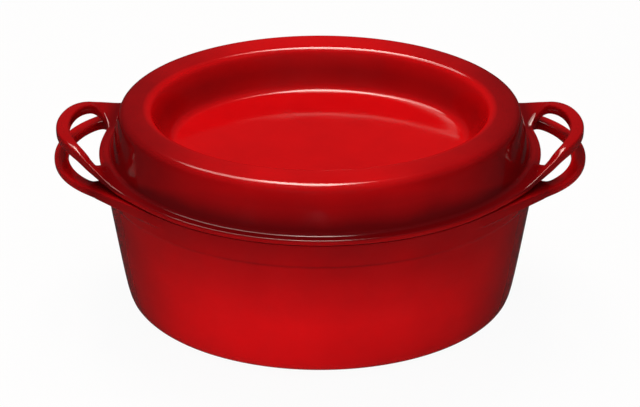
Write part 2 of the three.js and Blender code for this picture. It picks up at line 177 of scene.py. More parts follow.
class CasseroleSizes(bpy.types.PropertyGroup):
    """Sizes of the pot and the lid. An inset is measured in from the rim oval."""

    rim_length: length("Rim length", "Outside length of the rim oval", 2 * RIM_HALF_LENGTH)
    rim_width: length("Rim width", "Outside width of the rim oval", 2 * highest("lid").y)
    pot_height: length("Pot height", "From the table to the top of the rim", POT_HEIGHT)
    rim_set_back: length("Rim set back", "How far the pot's rim stays inside the lid's edge", 0.0005)
    crease_drop: length("Crease drop", "From the rim down to the crease", 0.0195)
    crease_depth: length("Crease depth", "How far the wall draws in at the crease", 0.0007)
    crease_run: length("Crease run", "Height of the crease", 0.0012)
    foot_inset: length("Foot inset", "How far the wall draws in down to the table", 0.0167)
    foot_corner: length("Foot corner", "Radius between the wall and the foot", 0.017)
    foot_band: length("Foot band", "Width of the ring that the pot stands on", 0.010)
    foot_recess: length("Foot recess", "Depth of the hollow inside the foot ring", 0.001)
    rim_land: length("Rim land", "Width of the rim's top face", 0.0056)
    pot_wall: length("Pot wall", "Thickness of the pot's wall", 0.0046)
    pot_floor: length("Pot floor", "Thickness of the pot's floor", 0.0055)
    cavity_corner: length("Cavity corner", "Radius between the cavity's wall and floor", 0.013)
    cavity_round: length("Cavity round", "Radius between the cavity's wall and the rim's top face", 0.0013)
    rim_round: length("Rim round", "Radius of the rim's outer edge", 0.0005)

    seat_gap: length("Seat gap", "Air between the lid and the rim", SEAT_GAP)
    lid_height: length("Lid height", "From the seat to the top of the ring", LID_HEIGHT)
    flange_thickness: length("Flange thickness", "Thickness of the lid's edge", 0.0038)
    flange_round: length("Flange round", "Radius of the flange's edge", 0.0014)
    ledge_at_sides: length("Ledge at sides", "Width of the flange along the sides", 0.0070)
    ledge_at_ends: length("Ledge at ends", "Width of the flange at the two ends", 0.0082)
    ledge_fillet: length("Ledge fillet", "Radius between the flange and the ring", 0.0030)
    ring_edge_inset: length("Ring edge inset", "Inset of the ring's outer top edge", 0.0164)
    ring_edge_round: length("Ring edge round", "Radius of the ring's outer top edge", 0.007)
    well_edge_inset: length("Well edge inset", "Inset of the well's top edge", 0.041)
    well_end_reach: length("Well end reach", "How much further the well's edge reaches at its ends", 0.003)
    well_edge_round: length("Well edge round", "Radius of the well's top edge", 0.0065)
    well_floor_inset: length("Well floor inset", "Inset of the well's floor", 0.051)
    well_depth: length("Well depth", "From the ring's top to the well's floor", 0.0298)
    well_fillet: length("Well fillet", "Radius between the well's wall and floor", 0.008)
    lid_wall: length("Lid wall", "Thickness of the lid", 0.0046)
    underside_fillet: length("Underside fillet", "Radii on the lid's underside", 0.004)

    lip_depth: length("Lip depth", "How far the locating lip hangs into the pot", 0.006)
    lip_draft: length("Lip draft", "How far the lip draws in towards its edge", 0.001)
    lip_thickness: length("Lip thickness", "Thickness of the lip's edge", 0.003)
    lip_round: length("Lip round", "Radius of the lip's edge", 0.0012)
    lip_clearance: length("Lip clearance", "Air between the lip and the pot's wall", 0.0015)

    coat: length("Coat", "Thickness of the black coat", 0.0005)
    coat_set: length("Coat set", "From the coat's face to the iron under it", 0.00055)
    coat_edge: length("Coat edge", "How far the coat stays inside the rim's edge", COAT_EDGE)

    nub_radius: length("Nub radius", "Radius of a drip nub under the well", 0.004)
    nub_height: length("Nub height", "Height of a drip nub", 0.003)
    nub_pitch: length("Nub pitch", "Distance from nub to nub", 0.030)
    nub_margin: length("Nub margin", "Distance of the outer nubs from the well's edge", 0.012)


class LoopSizes(bpy.types.PropertyGroup):
    """Sizes of the loop handles at both ends of the pot and of the lid."""

    corner: length("Corner", "Radius of the hole's corners at the rim", 0.006)
    foot_lead: length("Foot lead", "From the hole's corner back to the foot's edge", 0.010)
    edge_round: length("Edge round", "Radius of the bars' edges", 0.0021)

    pot_reach: length("Pot reach", "How far the pot's loops stand out", POT_REACH)
    pot_end_radius: length("Pot end radius", "Outer radius of the pot's loops", 0.0615)
    pot_bar: length("Pot bar", "Width of the pot's loops in plan", 0.0105)
    pot_thickness: length("Pot thickness", "Height of the pot's loops", 0.0066)
    pot_flare: length("Pot flare", "How far the feet run down the wall", 0.004)
    pot_flare_width: length("Pot flare width", "How far out the flare reaches", 0.014)

    lid_reach: length("Lid reach", "How far the lid's loops stand out", LID_REACH)
    lid_end_radius: length("Lid end radius", "Outer radius of the lid's loops", 0.046)
    lid_hole_radius: length("Lid hole radius", "Radius of the hole in the lid's loops", 0.0442)
    lid_bar: length("Lid bar", "Width of the lid's loops in plan", 0.0098)
    lid_thickness: length("Lid thickness", "Height of the lid's loops", 0.0086)
    lid_lift: length("Lid lift", "How far the lid's loops climb", 0.0172)
    lid_level_to: length("Lid level", "Length of the level stretch from the tip", 0.030)
    lid_climb_from: length("Lid climb", "Where the climb starts, measured from the tip", 0.077)
    lid_climb_ease: length("Lid ease", "How far the climb's two corners are eased", 0.012)
    lid_blend: length("Lid blend", "How far out of the rim the inner edge reaches its climb", 0.0100)


class EnamelLook(bpy.types.PropertyGroup):
    """Colours and finish of the two enamels."""

    # The cherry is the enamel's own red. Deep cherry is painted shade: a darker red mixed in where the
    # casting stands in shade.
    cherry: colour("Cherry", "Red enamel where it lies thick", (0.60, 0.0026, 0.0042))
    deep_cherry: colour("Deep cherry", "Red enamel where it is sprayed darker", (0.15, 0.0009, 0.0022))
    black: colour("Black", "Black enamel of the linings", (0.026, 0.026, 0.028))
    grey_fleck: colour("Grey fleck", "Flecks in the black enamel", (0.10, 0.10, 0.104))
    red_gloss: fraction("Red specular", "Specular level of the red enamel", 0.5)
    red_unevenness: fraction("Red unevenness", "How much the depth of the red varies", 0.18)
    # Each of these is a share of painted shade in deep cherry
    rim_shade: fraction("Rim shade", "Deep cherry at the pot's rim", 0.6)
    crease_shade: fraction("Crease shade", "Deep cherry along the crease", 0.22)
    end_shade: fraction("End shade", "Deep cherry at the two ends", 0.80)
    side_shade: fraction("Side shade", "Deep cherry low on the lid's side", 1.0)
    well_shade: fraction("Well shade", "Deep cherry on the well's wall", 0.42)


class StageLook(bpy.types.PropertyGroup):
    """The floor, the room, the lamps' tint and the camera."""

    floor: colour("Floor", "Colour of the floor", (0.86, 0.86, 0.86))
    floor_whiteness: fraction("Floor whiteness", "How much of the floor's light is its own", 0.95)
    floor_mirrored: fraction("Mirrored floor", "Brightness of the floor that the enamel mirrors", 0.04)
    horizon: fraction("Horizon", "Brightness of the room low round the horizon", 0.03)
    room: fraction("Room", "Brightness of the room above", 0.05)
    lamp_tint: colour("Lamp tint", "Colour of the lamps that the enamel mirrors", (1.0, 0.84, 0.76))
    lens: setting("Lens", "Focal length of the camera", 124.0, unit="CAMERA")


def seat_height(sizes):
    """Height of the lid's seat"""
    return sizes.pot_height + sizes.seat_gap


def half_axes(sizes, corner):
    """Half length and half width of the oval through a corner"""
    half_length = sizes.rim_length / 2 - corner.inset - corner.end
    return half_length, sizes.rim_width / 2 - corner.inset


def raised(corners, distance):
    """A profile that runs out from the middle, moved up square to itself"""
    flat = [Vector((corner.inset, corner.height)) for corner in corners]
    runs = [(after - before).normalized() for before, after in zip(flat, flat[1:])]
    squares = [Vector((run.y, -run.x)) for run in runs]
    moved = []
    for i, corner in enumerate(corners):
        before = squares[i - 1] if i > 0 else Vector((0.0, 1.0))
        after = squares[i] if i < len(squares) else before
        move = (before + after) * distance / (1 + before.dot(after))
        moved.append(corner._replace(inset=corner.inset + move.x, height=corner.height + move.y))
    return moved


def middle_of(corner, sizes):
    """The ring on the same floor that leaves the middle to one flat face"""
    return Corner(corner.inset + (sizes.rim_width / 2 - corner.inset) * (1 - MIDDLE_SHARE), corner.height)


def cavity_corners(sizes):
    """Inside of the pot as it shows, from the middle of the floor to the rim's top face"""
    floor = Corner(sizes.foot_inset + sizes.pot_wall, sizes.pot_floor, 0.0, sizes.cavity_corner)
    return [
        middle_of(floor, sizes),
        floor,
        Corner(sizes.rim_land, sizes.pot_height, 0.0, sizes.cavity_round),
        Corner(sizes.rim_set_back + sizes.coat_edge, sizes.pot_height),
    ]


def lid_top_corners(sizes):
    """Top of the lid, from the middle of the well to the flange's lower edge"""
    seat = seat_height(sizes)
    top = seat + sizes.lid_height
    flange_top = seat + sizes.flange_thickness
    end = sizes.ledge_at_ends - sizes.ledge_at_sides
    floor = Corner(sizes.well_floor_inset, top - sizes.well_depth, 0.0, sizes.well_fillet)
    return [
        middle_of(floor, sizes),
        floor,
        Corner(sizes.well_edge_inset, top, -sizes.well_end_reach, sizes.well_edge_round),
        Corner(sizes.ring_edge_inset, top, 0.0, sizes.ring_edge_round),
        Corner(sizes.ledge_at_sides, flange_top, end, sizes.ledge_fillet),
        Corner(sizes.ledge_at_sides * LEDGE_SUPPORT, flange_top, end * LEDGE_SUPPORT),
        Corner(0.0, flange_top),
        Corner(0.0, seat),
    ]


def lid_underside_corners(sizes):
    """Underside of the lid as it shows, from the middle to the seat's edge"""
    seat = seat_height(sizes)
    end = sizes.ledge_at_ends - sizes.ledge_at_sides
    shell = raised(lid_top_corners(sizes), -sizes.lid_wall)
    floor, inner, outer, ledge = (corner._replace(radius=sizes.underside_fillet) for corner in shell[1:5])
    lip_outer = sizes.rim_land + sizes.lip_clearance
    lip_inner = lip_outer + sizes.lip_draft + sizes.lip_thickness
    wall_share = (outer.inset - lip_inner) / (outer.inset - ledge.inset)
    lip_top = outer.height + (ledge.height - outer.height) * wall_share
    return [
        middle_of(floor, sizes),
        floor,
        inner,
        outer,
        Corner(lip_inner, lip_top, end),
        Corner(lip_inner, seat - sizes.lip_depth, end, sizes.lip_round),
        Corner(lip_outer + sizes.lip_draft, seat - sizes.lip_depth, 0.0, sizes.lip_round),
        Corner(lip_outer, seat),
        Corner(sizes.coat_edge, seat),
    ]


def pot_wall_corner(sizes, height, deeper=0.0):
    """A ring on the pot's outer wall, or a little deeper than the wall"""
    drawn_in = (sizes.foot_inset - sizes.rim_set_back) * height / sizes.pot_height
    return Corner(sizes.foot_inset - drawn_in + deeper, height)


def smooth_step(value, low, high):
    """0 below low, 1 above high, and an even curve between"""
    share = min(1.0, max(0.0, (value - low) / (high - low)))
    return share * share * (3 - 2 * share)


def eased_ramp(value, low, high, ease):
    """A straight climb from 0 at low to 1 at high, with its two corners eased"""

    def risen(past):
        in_ease = min(2 * ease, max(0.0, past + ease))
        return in_ease**2 / (4 * ease) + max(0.0, past - ease)

    return (risen(value - low) - risen(value - high)) / (high - low)


def crossing(rising, low, high):
    """Where a rising function crosses zero"""
    for _ in range(SEARCH_STEPS):
        middle = (low + high) / 2
        if rising(middle) > 0:
            high = middle
        else:
            low = middle
    return (low + high) / 2


def heading(angle):
    """The direction at an angle, in plan"""
    return Vector((cos(angle), sin(angle)))


def angle_of(vector):
    """The angle of a direction, in plan"""
    return atan2(vector.y, vector.x)


class LoopPlan:
    """Plan of half a loop at the +X end, from above.

    The outer edge is the line that touches both the rim oval and the loop's end circle. The inner
    edge is the hole's circle, a bar's width inside the tip, and turns onto the rim in a round corner.
    """

    def __init__(self, sizes, loops, set_back, reach, bar, end_radius, hole_radius):
        self.half_length, self.half_width = half_axes(sizes, Corner(set_back, 0.0))
        self.foot_lead, self.bar, self.corner_radius = loops.foot_lead, bar, loops.corner
        tip = sizes.rim_length / 2 + reach
        self.end_centre, self.end_radius = Vector((tip - end_radius, 0.0)), end_radius
        self.hole_centre, self.hole_radius = Vector((tip - bar - hole_radius, 0.0)), hole_radius
        self.facing = crossing(
            lambda angle: self.on_rim(angle).length - self.side_reach(angle), 0.0, pi / 2
        )
        self.side = heading(self.facing)
        self.side_run = heading(self.facing + pi / 2)
        self.side_start = self.end_centre + self.side * end_radius
        self.end_run = end_radius * self.facing
        self.touch = atan2(self.half_width * self.side.y, self.half_length * self.side.x)
        corner_reach = hole_radius - self.corner_radius
        self.corner_foot = crossing(
            lambda angle: (self.corner_at(angle) - self.hole_centre).length - corner_reach, 0.0, self.touch
        )
        self.corner = self.corner_at(self.corner_foot)
        self.corner_turn = angle_of(self.corner - self.hole_centre)

    def on_rim(self, angle):
        return Vector((self.half_length * cos(angle), self.half_width * sin(angle)))

    def side_reach(self, angle):
        """How far the end circle reaches in a direction"""
        return self.end_centre.dot(heading(angle)) + self.end_radius

    def hole_at(self, angle):
        return self.hole_centre + heading(angle) * self.hole_radius

    def corner_at(self, angle):
        """Centre of a round corner that stands on the rim"""
        away = Vector((self.half_width * cos(angle), self.half_length * sin(angle)))
        return self.on_rim(angle) + away.normalized() * self.corner_radius

    def outer_run(self, place):
        """How far from the tip, along the outer edge, it comes nearest to a place"""
        angle = angle_of(place - self.end_centre)
        if angle < self.facing:
            return self.end_radius * angle
        return self.end_run + (place - self.side_start).dot(self.side_run)

    def foot_run(self):
        """How far from the tip, along the outer edge, the bar ends and its foot starts"""
        return self.outer_run(self.on_rim(self.corner_foot)) + self.foot_lead

    def outer_at(self, run):
        """The outer edge's point at a distance from the tip"""
        if run > self.end_run:
            return self.side_start + self.side_run * (run - self.end_run)
        return self.end_centre + heading(run / self.end_radius) * self.end_radius

    def ray_angles(self):
        """Angles of the quarter oval's rays, with one on the corner's foot and one on the touch"""
        spans = [
            (0.0, self.corner_foot, RAYS_BEFORE_CORNER),
            (self.corner_foot, self.touch, RAYS_IN_FOOT),
            (self.touch, pi / 2, RAYS_AFTER_FOOT),
        ]
        angles = [low + (high - low) * k / count for low, high, count in spans for k in range(count)]
        return angles + [pi / 2]

    def foot_places(self):
        """Points of the outer edge for the rays from the one after the corner's foot to the touch"""
        first = self.foot_run()
        last = self.outer_run(self.on_rim(self.touch))
        steps = RAYS_IN_FOOT - 1
        return [self.outer_at(first + (last - first) * k / steps) for k in range(RAYS_IN_FOOT)]

    def stations(self):
        """Pairs of points across the bar, inner and outer, from the foot to the tip"""
        start = angle_of(self.on_rim(self.corner_foot) - self.corner)
        start += 2 * pi if start < self.corner_turn else 0.0
        run_start = self.foot_run()
        run_end = self.outer_run(self.hole_at(self.corner_turn))
        pairs = []
        for k in range(1, CORNER_STATIONS + 1):
            share = k / CORNER_STATIONS
            turn = heading(start + (self.corner_turn - start) * share)
            inner = self.corner + turn * self.corner_radius
            pairs.append((inner, self.outer_at(run_start + (run_end - run_start) * share)))
        for k in range(END_STATIONS - 1, -1, -1):
            inner = self.hole_at(self.corner_turn * k / END_STATIONS)
            pairs.append((inner, self.outer_at(self.outer_run(inner))))
        return pairs

    def along(self, x, y):
        """How far a point lies from the tip, measured along the bar"""
        from_centre = Vector((x, abs(y))) - self.end_centre
        round_the_end = min(angle_of(from_centre), self.facing) * (self.end_radius - self.bar / 2)
        return round_the_end + max(0.0, from_centre.dot(self.side_run))

    def outside(self, x, y):
        """How far a point lies outside the rim oval"""
        return (hypot(x / self.half_length, y / self.half_width) - 1) * self.half_width


def pot_loop_plan(sizes, loops):
    """Plan of the pot's loops, whose hole follows the end circle"""
    outer, bar = loops.pot_end_radius, loops.pot_bar
    return LoopPlan(sizes, loops, sizes.rim_set_back, loops.pot_reach, bar, outer, outer - bar)


def lid_loop_plan(sizes, loops):
    """Plan of the lid's loops, whose hole has a radius of its own"""
    outer, hole = loops.lid_end_radius, loops.lid_hole_radius
    return LoopPlan(sizes, loops, 0.0, loops.lid_reach, loops.lid_bar, outer, hole)


def make_active(piece):
    """Leaves edit mode and selects one piece alone"""
    if bpy.context.mode != "OBJECT":
        bpy.ops.object.mode_set(mode="OBJECT")
    bpy.ops.object.select_all(action="DESELECT")
    piece.select_set(True)
    bpy.context.view_layer.objects.active = piece


def edit_all(piece):
    """Opens a piece in edit mode with all of it selected"""
    make_active(piece)
    bpy.ops.object.mode_set(mode="EDIT")
    bpy.ops.mesh.select_all(action="SELECT")


def face_outwards():
    """Turns the open piece's faces outwards and closes edit mode"""
    bpy.ops.mesh.select_all(action="SELECT")
    bpy.ops.mesh.normals_make_consistent(inside=False)
    bpy.ops.object.mode_set(mode="OBJECT")


def select_vertices(piece, passes):
    """In edit mode, selects the vertices whose place passes"""
    mesh = bmesh.from_edit_mesh(piece.data)
    mesh.select_mode = {"VERT"}
    for vertex in mesh.verts:
        vertex.select = passes(vertex.co)
    mesh.select_flush_mode()
    bmesh.update_edit_mesh(piece.data)


def modify(piece, name, kind, **values):
    """Adds a modifier to a piece and applies it"""
    make_active(piece)
    modifier = piece.modifiers.new(name, kind)
    for key, value in values.items():
        setattr(modifier, key, value)
    bpy.ops.object.modifier_apply(modifier=modifier.name)


def quarter_shell(name, sizes, ray_angles, corners):
    """A quarter of an oval shell: an arc of rays, extruded from corner to corner of a profile"""
    bpy.ops.mesh.primitive_circle_add(vertices=4 * (len(ray_angles) - 1), radius=1.0, location=(0, 0, 0))
    piece = bpy.context.active_object
    piece.name = piece.data.name = name
    bpy.ops.object.mode_set(mode="EDIT")
    bpy.ops.mesh.select_mode(type="VERT")
    select_vertices(piece, lambda co: co.x < -SAME_PLACE or co.y < -SAME_PLACE)
    bpy.ops.mesh.delete(type="VERT")

    mesh = bmesh.from_edit_mesh(piece.data)
    arc = sorted(mesh.verts, key=lambda vertex: atan2(vertex.co.y, vertex.co.x))
    for vertex, angle in zip(arc, ray_angles):
        vertex.co.xy = heading(angle)
    arc[0].co.y = arc[-1].co.x = 0.0
    bmesh.update_edit_mesh(piece.data)

    bpy.ops.mesh.select_all(action="SELECT")
    before = half_axes(sizes, corners[0])
    bpy.ops.transform.resize(value=(*before, 1.0), center_override=(0, 0, 0))
    bpy.ops.transform.translate(value=(0, 0, corners[0].height))
    for last, corner in zip(corners, corners[1:]):
        rise = {"value": (0, 0, corner.height - last.height)}
        bpy.ops.mesh.extrude_region_move(TRANSFORM_OT_translate=rise)
        here = half_axes(sizes, corner)
        growth = (here[0] / before[0], here[1] / before[1], 1.0)
        bpy.ops.transform.resize(value=growth, center_override=(0, 0, corner.height))
        before = here
    return piece


def on_ring(axes, height, place):
    """Whether a place lies on the oval with these half axes at this height"""
    return (
        abs(place.z - height) < SAME_PLACE
        and abs(hypot(place.x / axes[0], place.y / axes[1]) - 1) < SAME_PLACE / axes[1]
    )


def extrude_half_loop(piece, sizes, plan, root_corners, height_at):
    """Widens the edge between the touch and the foot, and extrudes the bar from there to its tip"""
    angles = plan.ray_angles()[RAYS_BEFORE_CORNER : RAYS_BEFORE_CORNER + RAYS_IN_FOOT + 1]
    mesh = bmesh.from_edit_mesh(piece.data)
    root = []
    for corner, level in zip(root_corners, (1.0, -1.0)):
        axes = half_axes(sizes, corner)
        row = []
        for angle in angles:
            spot = Vector((axes[0] * cos(angle), axes[1] * sin(angle), corner.height))
            row.append(min(mesh.verts, key=lambda vertex: (vertex.co - spot).length))
        for vertex, place in zip(row[1:-1], plan.foot_places()):
            vertex.co = (*place, height_at(place, 1.0, level))
        root.append(row[:2])
    face = next(f for f in root[0][0].link_faces if all(v in f.verts for row in root for v in row))
    for vertex in mesh.verts:
        vertex.select = False
    face.select = True
    mesh.select_flush_mode()
    bmesh.update_edit_mesh(piece.data)
    bpy.ops.mesh.select_mode(type="FACE")
    inner_before = root[0][0].co.xy.copy()
    for inner, outer in plan.stations():
        bpy.ops.mesh.extrude_region_move()
        mesh = bmesh.from_edit_mesh(piece.data)
        section = sorted(
            (vertex for vertex in mesh.verts if vertex.select),
            key=lambda vertex: (vertex.co.xy - inner_before).length,
        )
        for pair, place, across in ((section[:2], inner, 0.0), (section[2:], outer, 1.0)):
            lower, upper = sorted(pair, key=lambda vertex: vertex.co.z)
            lower.co = (*place, height_at(place, across, -1.0))
            upper.co = (*place, height_at(place, across, 1.0))
        bmesh.update_edit_mesh(piece.data)
        inner_before = inner
    bpy.ops.mesh.delete(type="ONLY_FACE")
    bpy.ops.mesh.select_mode(type="VERT")


def mirror_quarter(piece):
    """Completes the oval from its quarter, and leaves it open in edit mode"""
    merge = {"use_mirror_merge": True, "merge_threshold": SAME_PLACE}
    modify(piece, "Other quarters", "MIRROR", use_axis=(True, True, False), **merge)
    edit_all(piece)
    bpy.ops.mesh.remove_doubles(threshold=SAME_PLACE)


def profile_reach(sizes, corners):
    """A function that says how far an edge along a profile's corner is to be rounded"""
    flat = [Vector((corner.inset, corner.height)) for corner in corners]
    rings = []
    for i, corner in enumerate(corners):
        if corner.radius:
            turn = pi - (flat[i - 1] - flat[i]).angle(flat[i + 1] - flat[i])
            rings.append((half_axes(sizes, corner), corner.height, corner.radius * tan(turn / 2)))

    def reach_at(edge):
        for axes, height, reach in rings:
            if all(on_ring(axes, height, vertex.co) for vertex in edge.verts):
                return reach
        return 0.0

    return reach_at


def round_and_smooth(piece, reach_at):
    """Bevels each edge of a cage as far as reach_at says, and subdivides the cage"""
    edit_all(piece)
    mesh = bmesh.from_edit_mesh(piece.data)
    weights = mesh.edges.layers.float.new("bevel_weight_edge")
    reaches = {edge: reach_at(edge) for edge in mesh.edges}
    widest = max(reaches.values())
    for edge, reach in reaches.items():
        edge[weights] = reach / widest
    bmesh.update_edit_mesh(piece.data)
    by_weight = {"limit_method": "WEIGHT", "offset_type": "OFFSET", "use_clamp_overlap": False}
    modify(piece, "Rounded edges", "BEVEL", width=widest, segments=ROUND_SEGMENTS, **by_weight)
    modify(piece, "Smooth casting", "SUBSURF", levels=SMOOTH_LEVELS, render_levels=SMOOTH_LEVELS)
    bpy.ops.object.shade_smooth()


def cast_with_loops(name, sizes, plan, corners, root_corners, height_at, loop_round_at):
    """An oval casting with a loop at each end, made from its quarter and rounded"""
    piece = quarter_shell(name, sizes, plan.ray_angles(), corners)
    extrude_half_loop(piece, sizes, plan, root_corners, height_at)
    mirror_quarter(piece)
    bpy.ops.mesh.fill_holes(sides=0)
    face_outwards()
    ring_reach_at = profile_reach(sizes, corners)

    def reach_at(edge):
        is_sharp = edge.calc_face_angle(0.0) > SHARP_TURN
        middle = (edge.verts[0].co + edge.verts[1].co) / 2
        return (is_sharp and loop_round_at(middle)) or ring_reach_at(edge)

    round_and_smooth(piece, reach_at)
    return piece


def oval_coat(name, sizes, ray_angles, corners, upwards):
    """A black coat: a sheet along a profile, thickened on the side of the iron"""
    piece = quarter_shell(name, sizes, ray_angles, corners)
    mirror_quarter(piece)
    axes = half_axes(sizes, corners[0])
    select_vertices(piece, lambda co: on_ring(axes, corners[0].height, co))
    bpy.ops.mesh.edge_face_add()
    face_outwards()
    round_and_smooth(piece, profile_reach(sizes, corners))
    middle = min(piece.data.polygons, key=lambda face: face.center.xy.length)
    faces_up = middle.normal.z > 0
    side = 1.0 if faces_up == upwards else -1.0
    modify(piece, "Coat", "SOLIDIFY", thickness=sizes.coat, offset=side)
    edit_all(piece)
    face_outwards()
    bpy.ops.object.shade_smooth_by_angle(angle=SMOOTH_TURN)
    return piece


class NodeMaker:
    """Adds linked nodes to the tree of a material or a world"""

    def __init__(self, owner):
        owner.use_nodes = True
        self.nodes, self.links = owner.node_tree.nodes, owner.node_tree.links

    def feed(self, node, inputs):
        """Links each input to another node's output, or sets it to a number or a colour"""
        for name, value in inputs.items():
            if isinstance(value, bpy.types.NodeSocket):
                self.links.new(value, node.inputs[name])
            else:
                node.inputs[name].default_value = value

    def add(self, kind, inputs):
        """A new node with some of its inputs fed"""
        node = self.nodes.new(kind)
        self.feed(node, inputs)
        return node

    def coordinates(self, kind):
        return self.nodes.new("ShaderNodeTexCoord").outputs[kind]

    def noise(self, place, scale, detail):
        inputs = {"Vector": place, "Scale": scale, "Detail": detail}
        return self.add("ShaderNodeTexNoise", inputs).outputs["Fac"]

    def spread(self, value, span, to=(0.0, 1.0)):
        """Maps a span of values to another, and holds its ends"""
        inputs = {"Value": value, "From Min": span[0], "From Max": span[1], "To Min": to[0], "To Max": to[1]}
        return self.add("ShaderNodeMapRange", inputs).outputs["Result"]

    def maths(self, operation, first, second=0.0):
        """An operation on two values, each a number or another node's output"""
        node = self.nodes.new("ShaderNodeMath")
        node.operation = operation
        self.feed(node, {0: first, 1: second})
        return node.outputs["Value"]

    def mix(self, factor, first, second):
        """A blend of two colours"""
        node = self.add("ShaderNodeMix", {"Factor": factor})
        node.data_type = "RGBA"
        for name, value in (("A", first), ("B", second)):
            socket = next(s for s in node.inputs if s.name == name and s.type == "RGBA")
            socket.default_value = (*value, 1.0)
        return next(s for s in node.outputs if s.type == "RGBA")

    def bump(self, height, strength, distance, **before):
        inputs = {"Height": height, "Strength": strength, "Distance": distance, **before}
        return self.add("ShaderNodeBump", inputs).outputs["Normal"]

    def sideways_and_height(self, place):
        """How far a place lies from the middle along X, and its height"""
        parts = self.add("ShaderNodeSeparateXYZ", {"Vector": place})
        return self.maths("ABSOLUTE", parts.outputs["X"]), parts.outputs["Z"]

    def oval_share(self, place, axes):
        """How far out a place lies, as a share of the way to an oval"""
        scale = (1 / axes[0], 1 / axes[1], 0.0)
        scaled = self.add("ShaderNodeMapping", {"Vector": place, "Scale": scale})
        away = self.nodes.new("ShaderNodeVectorMath")
        away.operation = "LENGTH"
        self.feed(away, {0: scaled.outputs["Vector"]})
        return away.outputs["Value"]


def pot_painted_shade(maker, place, look, sizes):
    """Share of painted shade in deep cherry on the pot: most at the rim and at the two ends, and a dark line
    painted along the crease
    """
    sideways, height = maker.sideways_and_height(place)
    # Painted shade: darker towards the rim and towards the two ends, and less on the loops
    rim = maker.spread(height, (POT_SHADE_FROM, sizes.pot_height), (0.0, look.rim_shade))
    ends = maker.spread(sideways, (POT_ENDS_FROM, sizes.rim_length / 2), (0.0, look.end_shade))
    shaded = maker.maths("MAXIMUM", rim, ends)
    # A thin dark line of painted shade along the crease, fading towards the two ends
    over_crease = maker.maths("SUBTRACT", height, sizes.pot_height - sizes.crease_drop)
    off_crease = maker.maths("ABSOLUTE", over_crease)
    in_crease = maker.spread(off_crease, CREASE_SPAN, (look.crease_shade, 0.0))
    short_of_ends = maker.spread(sideways, CREASE_ENDS_SPAN, (1.0, 0.0))
    crease = maker.maths("MULTIPLY", in_crease, short_of_ends)
    on_wall = maker.maths("ADD", shaded, crease)
    short_of_loop = maker.spread(sideways, (sizes.rim_length / 2, POT_LOOPS_FROM), (1.0, POT_LOOP_SHADE))
    return maker.maths("MULTIPLY", on_wall, short_of_loop)


def lid_painted_shade(maker, place, look, sizes):
    """Share of painted shade in deep cherry on the lid: down its side, on both ends and on the well's wall,
    less on the loops and the flange's edge
    """
    sideways, height = maker.sideways_and_height(place)
    well_edge = Corner(sizes.well_edge_inset, 0.0, -sizes.well_end_reach)
    outwards = maker.oval_share(place, half_axes(sizes, well_edge))
    # Painted shade at both ends, low down the lid's side and on the well's wall, and lighter on the loops
    # and the flange's edge
    ends = maker.spread(sideways, LID_ENDS_SPAN, (0.0, look.end_shade))
    past_well = maker.spread(outwards, WELL_EDGE_SPAN)
    on_ends = maker.maths("MULTIPLY", ends, past_well)
    down = maker.spread(height, LID_SIDE_SPAN, (look.side_shade, 0.0))
    past_ring = maker.spread(outwards, RING_SPAN)
    on_side = maker.maths("MULTIPLY", down, past_ring)
    shaded = maker.maths("MAXIMUM", on_ends, on_side)
    short_of_loop = maker.spread(sideways, LID_LOOPS_SPAN, (1.0, LID_LOOP_SHADE))
    off_loop = maker.maths("MULTIPLY", shaded, short_of_loop)
    flange_top = seat_height(sizes) + sizes.flange_thickness
    flange_edge = (flange_top - sizes.flange_round, flange_top)
    above_edge = maker.spread(height, flange_edge, (FLANGE_EDGE_SHADE, 1.0))
    outside = maker.maths("MULTIPLY", off_loop, above_edge)
    off_floor = maker.spread(outwards, WELL_FLOOR_SPAN, (0.0, look.well_shade))
    under_top = maker.spread(height, WELL_TOP_SPAN, (1.0, 0.0))
    in_well = maker.maths("MULTIPLY", off_floor, under_top)
    return maker.maths("MAXIMUM", outside, in_well)


def red_enamel(name, look, sizes, painted_shade_of):
    """Gloss cherry enamel with painted shade in deep cherry, an uneven depth, soft waves and a fine orange
    peel
    """
    material = bpy.data.materials.new(name)
    maker = NodeMaker(material)
    place = maker.coordinates("Object")
    cloud = maker.noise(place, scale=26.0, detail=4.0)
    uneven = maker.spread(cloud, (0.3, 0.75), (0.0, look.red_unevenness))
    # Painted shade plus a random unevenness in tone sets how much deep cherry is mixed in
    depth = maker.maths("ADD", painted_shade_of(maker, place, look, sizes), uneven)
    smears = maker.noise(place, scale=60.0, detail=5.0)
    waves = maker.bump(maker.noise(place, scale=34.0, detail=1.0), strength=0.15, distance=0.0006)
    peel = maker.noise(place, scale=420.0, detail=2.0)
    finish = {
        "Base Color": maker.mix(depth, look.cherry, look.deep_cherry),
        "Roughness": maker.spread(smears, NOISE_SPAN, RED_ROUGHNESS),
        "Normal": maker.bump(peel, strength=0.06, distance=0.0002, Normal=waves),
        "Specular IOR Level": look.red_gloss,
    }
    maker.feed(maker.nodes["Principled BSDF"], finish)
    return material


def black_enamel(look):
    """Satin black enamel with fine grey flecks and a grain, made once for both linings"""
    made = bpy.data.materials.get("satin_black_enamel")
    if made:
        return made
    material = bpy.data.materials.new("satin_black_enamel")
    maker = NodeMaker(material)
    place = maker.coordinates("Object")
    grit = maker.noise(place, scale=900.0, detail=3.0)
    flecks = maker.spread(grit, (0.62, 0.78), (0.0, 0.8))
    cloud = maker.noise(place, scale=45.0, detail=4.0)
    finish = {
        "Base Color": maker.mix(flecks, look.black, look.grey_fleck),
        "Roughness": maker.spread(cloud, NOISE_SPAN, BLACK_ROUGHNESS),
        "Normal": maker.bump(grit, strength=0.15, distance=0.0003),
    }
    maker.feed(maker.nodes["Principled BSDF"], finish)
    return material


def finish_piece(piece, material, body, node):
    """Enamels a piece, hangs it on its body's empty and hides the CAD node that it replaces"""
    piece.data.materials.append(material)
    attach(piece, body)
    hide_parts(node)


def part_settings(context):
    """The sizes of the pot and the lid, those of the loops, and the enamels' look"""
    scene = context.scene
    return scene.casserole_sizes, scene.casserole_loops, scene.casserole_enamel


